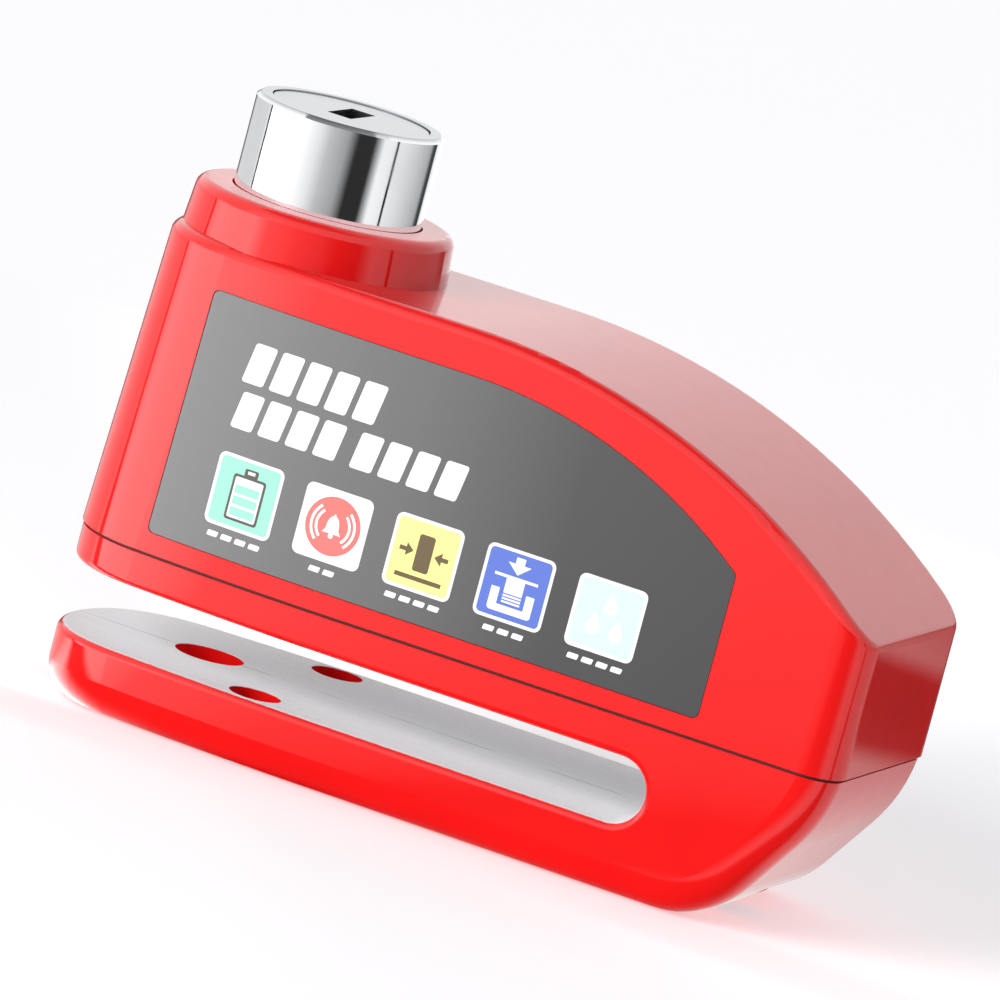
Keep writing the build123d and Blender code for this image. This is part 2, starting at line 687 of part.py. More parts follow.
with BuildPart() as latch_bolt:
    block((-latch_width / 2, latch_width / 2), (-latch_tail, latch_tip), (latch_z, latch_z + latch_height))
    chamfer(latch_bolt.edges().filter_by(Axis.X).group_by(Axis.Y)[-1].sort_by(Axis.Z)[0], 0.8)
    slot_y = eccentric_throw / math.sqrt(2)
    slot_half = eccentric_radius + 0.15
    slot_x = (slot_y - eccentric_radius - 0.3, eccentric_throw + eccentric_radius + 0.3)
    slot_span = (-slot_y - slot_half, -slot_y + slot_half)
    block(slot_x, slot_span, (latch_z, latch_z + latch_height), Mode.SUBTRACT)
save(latch_bolt, "latch_bolt")

# Circuit board and arming switch
board_bottom = parting_z + 3.5
board_height = 26.5
board_slope_x = board_left + 29.0
board_corner_gap = 1.73
board_corner_z = top_height(board_right, shell_wall) - board_corner_gap
board_screw_length = 8.0
board_screw_head_radius = 1.8
board_screw_head_height = 1.2
recess_reach = 1.4
recess_half = 0.25
switch_length = 6.0
switch_half = 3.0
switch_left = sleeve_radius + 2.2
plunger_tip = barrel_radius - plunger_travel + plunger_gap
plunger_end = switch_left + 1.2

with BuildPart() as circuit_board:
    with BuildSketch(Plane.XZ.offset(-board_back)):
        with BuildLine():
            Polyline(
                (board_left, board_bottom),
                (board_right, board_bottom),
                (board_right, board_corner_z),
                (board_slope_x, board_bottom + board_height),
                (board_left, board_bottom + board_height),
                close=True,
            )
        make_face()
    extrude(amount=board_thickness)
    for x, z in board_screw_spots:
        rod_y(x, (board_front - 1, board_back + 1), z, board_screw_radius + 0.15, Mode.SUBTRACT)
save(circuit_board, "circuit_board")

with BuildPart() as board_screws:
    head_y = board_front - board_screw_head_height
    recess_y = (head_y, head_y + board_screw_head_height / 2)
    for x, z in board_screw_spots:
        rod_y(x, (head_y, board_front), z, board_screw_head_radius)
        rod_y(x, (head_y, board_back + board_screw_length), z, board_screw_radius)
        for along, aside in ((recess_reach, recess_half), (recess_half, recess_reach)):
            block((x - along, x + along), recess_y, (z - aside, z + aside), Mode.SUBTRACT)
save(board_screws, "board_screws")

with BuildPart() as arming_switch:
    switch_z = (plunger_z - switch_half, plunger_z + switch_half)
    block((switch_left, switch_left + switch_length), (-switch_half, board_front), switch_z)
    bore_x = (switch_left, plunger_end + plunger_travel + 0.5)
    rod_x(bore_x, 0, plunger_z, plunger_radius + 0.1, Mode.SUBTRACT)
save(arming_switch, "arming_switch")

with BuildPart() as switch_plunger:
    rod_x((plunger_tip + plunger_radius, plunger_end), 0, plunger_z, plunger_radius)
    with Locations((plunger_tip + plunger_radius, 0, plunger_z)):
        Sphere(plunger_radius)
save(switch_plunger, "switch_plunger")

chip_x = board_right - 13.2
chip_z = parting_z + 11.9
chip_width = 6.0
chip_height = 5.0
chip_thickness = 1.35
coil_x = board_right - 11.2
coil_z = parting_z + 21.2
coil_radius = 3.6
coil_height = 5.5
coil_hole_radius = 1.6
coil_hole_depth = 2.0
capacitor_x = board_right - 3.4
capacitor_y = board_front - 2.6
capacitor_z = (parting_z + 12.7, parting_z + 21.2)
capacitor_radius = 2.5

with BuildPart() as control_chip:
    chip_y = (board_front - chip_thickness, board_front)
    block((chip_x, chip_x + chip_width), chip_y, (chip_z, chip_z + chip_height))
save(control_chip, "control_chip")

with BuildPart() as boost_coil:
    coil_front = board_front - coil_height
    rod_y(coil_x, (coil_front, board_front), coil_z, coil_radius)
    rod_y(coil_x, (coil_front, coil_front + coil_hole_depth), coil_z, coil_hole_radius, Mode.SUBTRACT)
save(boost_coil, "boost_coil")

with BuildPart() as capacitor:
    rod_z(capacitor_x, capacitor_y, capacitor_z, capacitor_radius)
    fillet(capacitor.edges().filter_by(GeomType.CIRCLE).sort_by(Axis.Z)[-1], 0.4)
save(capacitor, "capacitor")

# Shock sensor
sensor_x = board_right - 10.7
sensor_y = board_front - 3.1
sensor_z = (board_bottom + 0.6, board_bottom + 7.6)
sensor_radius = 3.0
sensor_wall = 0.5
sensor_floor = sensor_z[0] + 0.8
sensor_spring_length = 4.6
sensor_spring_radius = 1.3
sensor_spring_wire = 0.3
sensor_spring_turns = 8

with BuildPart() as sensor_can:
    rod_z(sensor_x, sensor_y, sensor_z, sensor_radius)
    inside_z = (sensor_floor, sensor_z[1] - sensor_wall)
    rod_z(sensor_x, sensor_y, inside_z, sensor_radius - sensor_wall, Mode.SUBTRACT)
save(sensor_can, "sensor_can")

with BuildPart() as sensor_spring:
    start = (sensor_x, sensor_y, sensor_floor + 0.05)
    sizes = (sensor_spring_length, sensor_spring_radius, sensor_spring_wire, sensor_spring_turns)
    add(coil(start, (0, 0, 1), *sizes))
save(sensor_spring, "sensor_spring")

# Batteries
cell_radius = 5.8
cell_height = 5.35
cell_pitch = 5.4
cells_in_row = 3
cell_y = -5.0
cell_clearance = 0.15
row_heights = [parting_z + 10.6, parting_z + 23.3]
tray_wall = 1.2
tray_left = board_left + 7.3
strip_thickness = 0.3
battery_spring_length = 3.3
battery_spring_radius = 2.4
battery_spring_wire = 0.45
battery_spring_turns = 3
mouth_lip = 0.6
strip_half = 3.0
first_cell_x = tray_left + tray_wall + strip_thickness + 0.1
cells_end = first_cell_x + cells_in_row * cell_pitch
tray_right = cells_end + battery_spring_length + 0.1 + tray_wall
tray_front = cell_y - cell_radius - cell_clearance - 0.45
tray_z = (row_heights[0] - cell_radius - 1.1, row_heights[1] + cell_radius + 1.1)

with BuildPart() as battery_tray:
    block((tray_left, tray_right), (tray_front, board_front - seat_clearance), tray_z)
    row_x = (tray_left + tray_wall, tray_right - tray_wall)
    for z in row_heights:
        rod_x(row_x, cell_y, z, cell_radius + cell_clearance, Mode.SUBTRACT)
        mouth = (z - cell_radius + mouth_lip, z + cell_radius - mouth_lip)
        block(row_x, (tray_front, cell_y), mouth, Mode.SUBTRACT)
    strip_x = (row_x[0], row_x[0] + strip_thickness)
    strip_z = (row_heights[0] - strip_half, row_heights[1] + strip_half)
    block(strip_x, (cell_y - strip_half, cell_y + strip_half), strip_z, Mode.SUBTRACT)
save(battery_tray, "battery_tray")

with BuildPart() as button_cells:
    for z in row_heights:
        for number in range(cells_in_row):
            start = first_cell_x + number * cell_pitch
            rod_x((start, start + cell_height), cell_y, z, cell_radius)
    chamfer(button_cells.edges().filter_by(GeomType.CIRCLE), 0.4)
save(button_cells, "button_cells")

with BuildPart() as contact_strip:
    strip_y = (cell_y - strip_half + seat_clearance, cell_y + strip_half - seat_clearance)
    block(strip_x, strip_y, (strip_z[0] + seat_clearance, strip_z[1] - seat_clearance))
save(contact_strip, "contact_strip")

with BuildPart() as battery_springs:
    for z in row_heights:
        start = (cells_end + 0.05, cell_y, z)
        sizes = (battery_spring_length, battery_spring_radius, battery_spring_wire, battery_spring_turns)
        add(coil(start, (1, 0, 0), *sizes))
save(battery_springs, "battery_springs")

with BuildPart() as battery_foam:
    foam_y = (-inner_width + seat_clearance, tray_front - seat_clearance)
    block((tray_left + 1, tray_right - 1), foam_y, (tray_z[0] + 1, tray_z[1] - 1))
save(battery_foam, "battery_foam")

# Siren
siren_front = board_back + seat_clearance
siren_mouth = inner_width - 0.8
diaphragm_y = inner_width - 3.4
diaphragm_thickness = 0.3
ledge_radius = siren_radius - 2.4
bore_radius = siren_radius - 1.2
mouth_radius = ledge_radius - 1.0
element_radius = 7.5
element_thickness = 0.25
lead_y = board_back + 3.0
lead_radius = 0.4
lead_start = siren_x + 16.0
lead_heights = [siren_z - 2, siren_z + 2]

with BuildPart() as siren_housing:
    rod_y(siren_x, (siren_front, siren_mouth), siren_z, siren_radius)
    rod_y(siren_x, (siren_front + 1.2, siren_mouth), siren_z, ledge_radius, Mode.SUBTRACT)
    rod_y(siren_x, (diaphragm_y, siren_mouth), siren_z, bore_radius, Mode.SUBTRACT)
    notch_y = (lead_y - 0.9, lead_y + 0.9)
    block((siren_x, lead_start), notch_y, (lead_heights[0] - 0.8, lead_heights[1] + 0.8), Mode.SUBTRACT)
save(siren_housing, "siren_housing")

with BuildPart() as siren_diaphragm:
    rod_y(siren_x, (diaphragm_y + 0.02, diaphragm_y + diaphragm_thickness), siren_z, bore_radius - 0.1)
save(siren_diaphragm, "siren_diaphragm")

with BuildPart() as piezo_element:
    rod_y(siren_x, (diaphragm_y - element_thickness, diaphragm_y), siren_z, element_radius)
save(piezo_element, "piezo_element")

with BuildPart() as siren_cap:
    cap_front = diaphragm_y + diaphragm_thickness + 0.02
    rod_y(siren_x, (cap_front, siren_mouth), siren_z, bore_radius - 0.05)
    rod_y(siren_x, (cap_front, siren_mouth), siren_z, mouth_radius, Mode.SUBTRACT)
save(siren_cap, "siren_cap")

with BuildPart() as siren_seal:
    seal_y = (siren_mouth + 0.02, inner_width - seat_clearance)
    rod_y(siren_x, seal_y, siren_z, siren_radius)
    rod_y(siren_x, seal_y, siren_z, mouth_radius, Mode.SUBTRACT)
save(siren_seal, "siren_seal")


def siren_lead(z):
    end = (siren_x + 5.5, diaphragm_y - 0.7, z)
    with BuildPart() as lead:
        with BuildLine():
            path = FilletPolyline(
                (lead_start, board_back + 0.02, z),
                (lead_start, lead_y, z),
                (siren_x + 8.0, lead_y, z),
                end,
                radius=1.1,
            )
        with BuildSketch(Plane((lead_start, board_back + 0.02, z), z_dir=(0, 1, 0))):
            Circle(lead_radius)
        sweep(path=path)
    return lead.part


with BuildPart() as siren_leads:
    for z in lead_heights:
        add(siren_lead(z))
save(siren_leads, "siren_leads")
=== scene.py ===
import json
import math
import bmesh
import bpy
from mathutils import Matrix, Vector


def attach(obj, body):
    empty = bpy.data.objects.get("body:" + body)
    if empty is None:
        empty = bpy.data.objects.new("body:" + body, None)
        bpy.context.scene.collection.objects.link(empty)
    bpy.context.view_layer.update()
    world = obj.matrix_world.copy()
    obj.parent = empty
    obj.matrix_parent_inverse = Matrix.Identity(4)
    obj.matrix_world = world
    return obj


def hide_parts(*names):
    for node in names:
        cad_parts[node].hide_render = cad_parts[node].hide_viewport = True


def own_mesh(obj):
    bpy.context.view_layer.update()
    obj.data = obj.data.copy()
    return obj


# Looks of a disc brake lock: red cast body, chrome push cylinder, printed label, alarm inside.
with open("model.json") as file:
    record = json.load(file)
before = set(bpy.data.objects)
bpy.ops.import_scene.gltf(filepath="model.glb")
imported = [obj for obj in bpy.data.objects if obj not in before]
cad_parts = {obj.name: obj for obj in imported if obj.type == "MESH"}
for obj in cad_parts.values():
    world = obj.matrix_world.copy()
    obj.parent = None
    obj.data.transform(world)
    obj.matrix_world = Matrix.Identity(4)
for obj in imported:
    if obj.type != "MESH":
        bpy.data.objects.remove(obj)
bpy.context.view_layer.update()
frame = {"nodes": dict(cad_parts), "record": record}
nodes = frame["nodes"]
mm = 0.001


class Wire:  # a shader socket that can stand in a sum
    def __init__(self, finish, socket):
        self.finish = finish
        self.socket = socket

    def maths(self, operation, first, second):
        return self.finish.node("Math", {"operation": operation}, {0: first, 1: second})

    def __add__(self, other):
        return self.maths("ADD", self, other)

    def __sub__(self, other):
        return self.maths("SUBTRACT", self, other)

    def __rsub__(self, other):
        return self.maths("SUBTRACT", other, self)

    def __mul__(self, other):
        return self.maths("MULTIPLY", self, other)

    def __pow__(self, other):
        return self.maths("POWER", self, other)

    __radd__ = __add__
    __rmul__ = __mul__


class Finish:  # a material, built node by node
    def __init__(self, name, **fixed):
        self.material = bpy.data.materials.new(name)
        self.material.use_nodes = True
        self.tree = self.material.node_tree
        self.tree.nodes.clear()
        self.shader = self.tree.nodes.new("ShaderNodeBsdfPrincipled")
        end = self.tree.nodes.new("ShaderNodeOutputMaterial")
        self.tree.links.new(self.shader.outputs[0], end.inputs[0])
        self.set(**fixed)

    def set(self, **values):  # Base_Color=... is the shader's Base Color
        for name, value in values.items():
            self.feed(self.shader.inputs[name.replace("_", " ")], value)

    def feed(self, socket, value):
        if isinstance(value, Wire):
            self.tree.links.new(value.socket, socket)
        elif isinstance(value, (tuple, list)) and len(value) == 3 and socket.type == "RGBA":
            socket.default_value = (*value, 1)
        else:
            socket.default_value = value

    def node(self, kind, settings=None, inputs=None, output=0):
        made = self.tree.nodes.new("ShaderNode" + kind)
        for name, value in (settings or {}).items():
            if name == "stops":
                for element, (at, colour) in zip(self.spread(made.color_ramp, len(value)), value):
                    element.position = at
                    element.color = (*colour, 1)
            else:
                setattr(made, name, value)
        for name, value in (inputs or {}).items():
            self.feed(made.inputs[name], value)
        return Wire(self, made.outputs[output])

    def spread(self, ramp, count):
        while len(ramp.elements) < count:
            ramp.elements.new(0.5)
        return ramp.elements

    def place(self):
        return self.node("TexCoord", output="Object")

    def axes(self):  # x, y and z, in millimetres
        first = self.node("SeparateXYZ", inputs={0: self.place()})
        return [Wire(self, socket) * (1 / mm) for socket in first.socket.node.outputs]

    def moved(self, size, stretch=(1, 1, 1)):  # object place in pattern sizes
        scale = [s / (size * mm) for s in stretch]
        return self.node("Mapping", inputs={0: self.place(), "Scale": scale})

    def noise(self, size, detail=3, stretch=(1, 1, 1)):
        vector = self.moved(size, stretch)
        return self.node("TexNoise", inputs={"Vector": vector, "Scale": 1, "Detail": detail})

    def cells(self, size):
        return self.node("TexVoronoi", inputs={"Vector": self.moved(size), "Scale": 1})

    def step(self, value, low, high):
        inputs = {"Value": value, "From Min": low, "From Max": high}
        return self.node("MapRange", {"interpolation_type": "SMOOTHSTEP"}, inputs)

    def mix(self, factor, first, second):
        return self.node("Mix", {"data_type": "RGBA"}, {0: factor, 6: first, 7: second}, 2)

    def bump(self, height, depth, strength=1.0, under=None):  # depth in millimetres
        inputs = {"Height": height, "Distance": depth * mm, "Strength": strength}
        if under:
            inputs["Normal"] = under
        return self.node("Bump", inputs=inputs)


# Red paint over the casting, left off inside the disc slot
paint = {
    "red": (0.80, 0.006, 0.006),
    "deepRed": (0.66, 0.004, 0.004),
    # bare metal grey, made lighter than the metal is: painted light in place of the light the shaded slot
    # doesn't get
    "brightenedBareGrey": (0.88, 0.88, 0.89),
    "darkFleck": (0.22, 0.22, 0.23),
    "seamGrey": (0.16, 0.16, 0.17),  # a faint line left by the mould along the middle
    "slotEnd": 55.15,  # middle of the slot's round end
    "slotMiddle": 11.75,
    "slotHalf": 3.75,
    "overlap": 0.04,  # how far the bare metal goes past the slot's faces
    "bareEdge": 0.10,
    "peelSize": 1.6,
    "peelDepth": 0.004,
    "grainDepth": 0.05,
}


def shade(colour, amount):
    return [c * amount for c in colour]


def bodyPaint():
    finish = Finish("bodyPaint", Coat_Roughness=0.03, Coat_IOR=1.5, Specular_IOR_Level=0.05)
    x, y, z = finish.axes()
    past = x - paint["slotEnd"]
    along = past.maths("MAXIMUM", past, 0)
    up = z - paint["slotMiddle"]
    reach = (along * along + up * up) ** 0.5
    ragged = finish.noise(0.9, 2) * 0.06
    bareReach = paint["slotHalf"] + paint["overlap"]
    painted = finish.step(reach + ragged, bareReach, bareReach + paint["bareEdge"])
    bare = 1 - painted
    cloud = finish.step(finish.noise(14, 2), 0.35, 0.7)
    red = finish.mix(cloud * 0.35, paint["red"], paint["deepRed"])
    grain = finish.noise(0.5, 4)
    drag = finish.noise(1.0, 5, (0.06, 1.0, 1.0))  # disc rubs along the slot
    # the bare grey here carries painted light, brightened to offset the slot's shade
    grey = finish.mix(drag, shade(paint["brightenedBareGrey"], 0.9), shade(paint["brightenedBareGrey"], 1.06))
    fleck = finish.step(finish.noise(0.35, 2), 0.66, 0.74) * 0.5
    grey = finish.mix(fleck, grey, paint["darkFleck"])
    seam = finish.step(y * y, 0.05, 0.005) * finish.step(finish.noise(7, 2), 0.40, 0.55)
    grey = finish.mix(seam * 0.45, grey, paint["seamGrey"])
    roughRed = finish.noise(3, 3) * 0.10 + 0.30
    roughGrey = drag * 0.25 + 0.30
    peel = finish.bump(finish.noise(paint["peelSize"], 1), paint["peelDepth"], 0.5)
    cast = finish.bump(bare * (grain * 0.5 + drag * 0.5), paint["grainDepth"], 0.6, peel)
    finish.set(
        Base_Color=finish.mix(bare, red, grey),
        Roughness=roughRed * painted + roughGrey * bare,
        Coat_Weight=painted,
        Normal=cast,
    )
    return finish.material


# Chrome on the cylinder's side, satin on its end face
chrome = {
    "bright": (0.86, 0.87, 0.89),
    "hazy": (0.78, 0.79, 0.81),
    "satin": (0.43, 0.45, 0.47),
    "satinWithin": (10.7, 10.2),  # distance from the axis where the end face begins
}


def chromePlate():
    finish = Finish("chromePlate", Metallic=1.0, IOR=2.5)
    x, y, _ = finish.axes()
    out = (x * x + y * y) ** 0.5
    fine = finish.noise(0.25, 3, (1, 1, 0.2))
    haze = finish.step(finish.noise(6, 3), 0.45, 0.75)
    end = finish.step(out, *chrome["satinWithin"])
    polished = finish.mix(haze * 0.5, chrome["bright"], chrome["hazy"])
    finish.set(
        Base_Color=finish.mix(end, polished, chrome["satin"]),
        Roughness=haze * 0.04 + fine * 0.03 + 0.035 + end * 0.10,
        Normal=finish.bump(fine, 0.004, 0.25),
    )
    return finish.material


def turnedSteel(name, colour, rough, size=0.3, stretch=(1, 1, 6)):
    finish = Finish(name, Metallic=1.0)
    lines = finish.noise(size, 4, stretch)
    patch = finish.step(finish.noise(4, 3), 0.4, 0.75)
    finish.set(
        Base_Color=finish.mix(patch * 0.6, colour, shade(colour, 0.72)),
        Roughness=lines * 0.18 + rough + patch * 0.06,
        Normal=finish.bump(lines, 0.012, 0.5),
    )
    return finish.material


def mouldedPlastic(name, colour, rough=0.45, gloss=0.0):
    finish = Finish(name, Coat_Roughness=0.1, Coat_Weight=gloss)
    spark = finish.cells(0.22)
    cloud = finish.noise(5, 3)
    finish.set(
        Base_Color=finish.mix(cloud * 0.5, colour, shade(colour, 0.75)),
        Roughness=spark * 0.12 + rough,
        Normal=finish.bump(spark, 0.012, 0.4),
    )
    return finish.material


def softRubber(name, colour, rough=0.7, pores=0.35):
    finish = Finish(name)
    skin = finish.noise(pores, 4)
    holes = finish.cells(pores * 1.6)
    finish.set(
        Base_Color=finish.mix(skin, shade(colour, 0.7), shade(colour, 1.5)),
        Roughness=skin * 0.15 + rough,
        Normal=finish.bump(holes + skin, 0.03, 0.5),
    )
    return finish.material


# Dark film with a painted sheen: its grey gets darker from left to right, and the lighter left stands in
# for a lamp's reflection
film = {
    "left": -5.2,
    "length": 67,
    "sheenGreys": [
        (0.0, (0.165, 0.163, 0.163)),
        (0.42, (0.125, 0.124, 0.125)),
        (0.72, (0.050, 0.050, 0.052)),
        (1.0, (0.042, 0.042, 0.044)),
    ],
    "weaveGrey": (0.06, 0.06, 0.06),
}


def labelFilm():
    finish = Finish("labelFilm", Coat_Weight=0.25, Coat_Roughness=0.22)
    x, _, _ = finish.axes()
    share = (x - film["left"]) * (1 / film["length"])
    # painted reflection: the base grey runs from light at the left to dark at the right in place of a sheen
    paintedSheen = finish.node("ValToRGB", {"stops": film["sheenGreys"]}, {0: share})
    weave = finish.noise(0.18, 2)
    finish.set(
        Base_Color=finish.mix(weave * 0.18, paintedSheen, film["weaveGrey"]),
        Roughness=weave * 0.10 + 0.36,
        Normal=finish.bump(weave, 0.006, 0.35),
    )
    return finish.material


def printInk(name, colour):
    finish = Finish(name, Coat_Weight=0.2, Coat_Roughness=0.2)
    dots = finish.noise(0.12, 2)
    finish.set(
        Base_Color=finish.mix(dots * 0.12, colour, shade(colour, 0.8)),
        Roughness=dots * 0.08 + 0.38,
        Normal=finish.bump(dots, 0.003, 0.3),
    )
    return finish.material


# Green board with lighter tracks and tinned pads
circuit = {
    "green": (0.012, 0.12, 0.045),
    "track": (0.02, 0.20, 0.075),
    "tin": (0.62, 0.60, 0.56),
    "trackPitch": 1.6,
    "padPitch": 2.2,
}


def circuitGreen():
    finish = Finish("circuitGreen", Coat_Weight=0.5, Coat_Roughness=0.15)
    weave = {"Vector": finish.moved(circuit["trackPitch"]), "Scale": 0.5, "Distortion": 2.0}
    wave = finish.node("TexWave", {"bands_direction": "Z"}, weave)
    tracks = finish.step(wave, 0.55, 0.65)
    dots = finish.step(finish.cells(circuit["padPitch"]), 0.16, 0.12)
    green = finish.mix(tracks, circuit["green"], circuit["track"])
    finish.set(
        Base_Color=finish.mix(dots, green, circuit["tin"]),
        Metallic=dots * 0.9,
        Roughness=0.35 + tracks * -0.08,
        Normal=finish.bump(tracks + dots, 0.03, 0.5),
    )
    return finish.material


steel = (0.60, 0.61, 0.63)
finishes = {
    "body_paint": bodyPaint(),
    "lock_chrome": chromePlate(),
    "hardened_steel": turnedSteel("hardenedSteel", steel, 0.22),
    "spring_steel": turnedSteel("springSteel", (0.36, 0.36, 0.38), 0.28, 0.4, (1, 1, 1)),
    "sleeve_alloy": turnedSteel("sleeveAlloy", (0.66, 0.67, 0.69), 0.30),
    "brass": turnedSteel("turnedBrass", (0.72, 0.50, 0.20), 0.22, 0.3, (6, 1, 1)),
    "nickel": turnedSteel("nickelPlate", (0.66, 0.64, 0.60), 0.20, 0.5, (1, 1, 1)),
    "seal_rubber": softRubber("sealRubber", (0.10, 0.006, 0.006), 0.55),
    "foam": softRubber("closedFoam", (0.035, 0.035, 0.038), 0.85, 0.6),
    "label_film": labelFilm(),
    "board": circuitGreen(),
    "black_plastic": mouldedPlastic("blackPlastic", (0.018, 0.018, 0.020)),
    "actuator_plastic": mouldedPlastic("actuatorPlastic", (0.62, 0.60, 0.54), 0.35),
    "ceramic": mouldedPlastic("silveredCeramic", (0.72, 0.71, 0.66), 0.4),
    "ferrite": mouldedPlastic("ferriteCore", (0.05, 0.05, 0.055), 0.6),
    "capacitor_sleeve": mouldedPlastic("capacitorSleeve", (0.03, 0.05, 0.18), 0.25, 0.6),
    "lead_insulation": mouldedPlastic("leadInsulation", (0.50, 0.02, 0.02), 0.3, 0.3),
}
for row in frame["record"]["subparts"]:
    mesh = nodes[row["node"]].data
    mesh.materials.clear()
    mesh.materials.append(finishes[row["material_slot"]])
print("finishes:", len(finishes))

# Printed label, in millimetres
label = {
    "face": -16.79,  # front of the label film where the flank is straight
    "flankFrom": 20.0,  # the flank curves back to the left of this
    "flankRadius": 200.19,
    "sunk": 0.01,  # how far each print goes into the film
    "layer": 0.012,  # each printed layer stands this much above the one below
    "rows": range(-4, 20, 3),  # cuts that let the prints follow the curve
    "tile": 8.2,
    "tileCorner": 0.8,
    "border": 0.38,
    "fillCorner": 0.5,
    "firstTile": 5.2,
    "tilePitch": 11.08,
    "tileHeight": 29.6,
    "fills": ["green", None, "yellow", "blue", "sky"],
}
inks = {
    "white": printInk("whiteInk", (0.90, 0.90, 0.90)),
    "green": printInk("greenInk", (0.30, 0.78, 0.56)),
    "red": printInk("redInk", (0.86, 0.16, 0.14)),
    "yellow": printInk("yellowInk", (0.98, 0.95, 0.28)),
    "blue": printInk("blueInk", (0.085, 0.16, 0.60)),
    "sky": printInk("skyInk", (0.62, 0.86, 0.94)),
    "dark": printInk("darkInk", (0.07, 0.06, 0.055)),
    "brown": printInk("brownInk", (0.13, 0.085, 0.03)),
}


def flat(width, height, corner=0.0, segments=4):  # a flat shape standing up in x and z
    shape = bmesh.new()
    bmesh.ops.create_grid(shape, x_segments=1, y_segments=1, size=0.5)
    bmesh.ops.scale(shape, vec=(width, height, 1), verts=shape.verts)
    if corner > 0:
        corners = shape.verts[:]
        rounding = {"offset": corner, "segments": segments, "profile": 0.5, "material": -1}
        bmesh.ops.bevel(shape, geom=corners, affect="VERTICES", **rounding)
    return shape


def disc(radius, inner=0.0, turn=0.0, sweep=360, segments=40):  # a disc, a ring or part of a ring
    shape = bmesh.new()
    if inner <= 0:
        bmesh.ops.create_circle(shape, cap_ends=True, radius=radius, segments=segments)
        return shape
    first = shape.verts.new((inner, 0, 0))
    second = shape.verts.new((radius, 0, 0))
    edge = shape.edges.new((first, second))
    bmesh.ops.rotate(shape, verts=shape.verts, matrix=Matrix.Rotation(math.radians(turn), 3, "Z"))
    whole = sweep >= 360
    circling = {"axis": (0, 0, 1), "angle": math.radians(sweep), "steps": segments, "use_merge": whole}
    bmesh.ops.spin(shape, geom=[first, second, edge], **circling)
    return shape


def outline(points):  # a flat shape from its corners
    shape = bmesh.new()
    shape.faces.new([shape.verts.new((x, y, 0)) for x, y in points])
    return shape


def moveShape(shape, x, z, lean=0.0):  # to its place on the label, leaning to the right
    matrix = Matrix.Identity(3)
    matrix[0][1] = lean
    bmesh.ops.transform(shape, matrix=matrix.to_4x4(), verts=shape.verts)
    bmesh.ops.translate(shape, vec=(x, z, 0), verts=shape.verts)
    return shape


def addMesh(name, shape):
    mesh = bpy.data.meshes.new(name)
    shape.to_mesh(mesh)
    shape.free()
    made = bpy.data.objects.new(name, mesh)
    bpy.context.scene.collection.objects.link(made)
    return made


def printPiece(name, ink, layer, shapes):  # flat shapes joined, curved to the flank and given a thickness
    joined = bmesh.new()
    for shape in shapes:
        mesh = bpy.data.meshes.new("part")
        shape.to_mesh(mesh)
        shape.free()
        joined.from_mesh(mesh)
        bpy.data.meshes.remove(mesh)
    for cut in label["rows"]:
        geom = joined.verts[:] + joined.edges[:] + joined.faces[:]
        bmesh.ops.bisect_plane(joined, geom=geom, plane_co=(cut, 0, 0), plane_no=(1, 0, 0))
    bmesh.ops.recalc_face_normals(joined, faces=joined.faces)
    for face in joined.faces:
        if face.normal.z < 0:
            face.normal_flip()
    bmesh.ops.rotate(joined, verts=joined.verts, matrix=Matrix.Rotation(math.radians(90), 3, "X"))
    top = bmesh.ops.extrude_face_region(joined, geom=joined.faces[:], use_keep_orig=True)
    raised = [v for v in top["geom"] if isinstance(v, bmesh.types.BMVert)]
    bmesh.ops.translate(joined, verts=raised, vec=(0, -label["layer"] * layer - label["sunk"], 0))
    radius = label["flankRadius"]
    for vert in joined.verts:
        back = max(label["flankFrom"] - vert.co.x, 0)
        vert.co.y += label["face"] + label["sunk"] + radius - math.sqrt(radius**2 - back**2)
    bmesh.ops.recalc_face_normals(joined, faces=joined.faces)
    bmesh.ops.scale(joined, vec=(mm, mm, mm), verts=joined.verts)
    piece = addMesh(name, joined)
    piece.data.materials.append(inks[ink])
    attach(piece, "housing")


tileX = [label["firstTile"] + label["tilePitch"] * n for n in range(5)]
tileZ = label["tileHeight"]
inner = label["tile"] - 2 * label["border"]
tiles = [moveShape(flat(label["tile"], label["tile"], label["tileCorner"]), x, tileZ) for x in tileX]
printPiece("tile_borders", "white", 1, tiles)
for x, ink in zip(tileX, label["fills"]):
    if ink:
        printPiece("tile_" + ink, ink, 2, [moveShape(flat(inner, inner, label["fillCorner"]), x, tileZ)])

# Battery on the green tile: sizes and heights from the tile's middle
battery = {
    "shift": 0.2,
    "case": (4.1, 5.2, 0.35),
    "inside": (3.5, 4.6, 0.2),
    "caseHeight": -0.45,
    "cap": (1.7, 0.9, 0.2),
    "capHeight": 2.55,
    "capInside": (0.9, 0.35),
    "capInsideHeight": 2.6,
    "bar": (3.0, 0.95),
    "firstBar": -2.0,
    "barPitch": 1.25,
}
batteryX = tileX[0] + battery["shift"]
caseZ = tileZ + battery["caseHeight"]
barHeights = [tileZ + battery["firstBar"] + battery["barPitch"] * n for n in range(3)]
printPiece("battery_outline", "dark", 3, [
    moveShape(flat(*battery["case"]), batteryX, caseZ),
    moveShape(flat(*battery["cap"]), batteryX, tileZ + battery["capHeight"]),
])
printPiece("battery_fill", "white", 4, [
    moveShape(flat(*battery["inside"]), batteryX, caseZ),
    moveShape(flat(*battery["capInside"]), batteryX, tileZ + battery["capInsideHeight"]),
])
printPiece("battery_bars", "green", 5, [moveShape(flat(*battery["bar"]), batteryX, z) for z in barHeights])

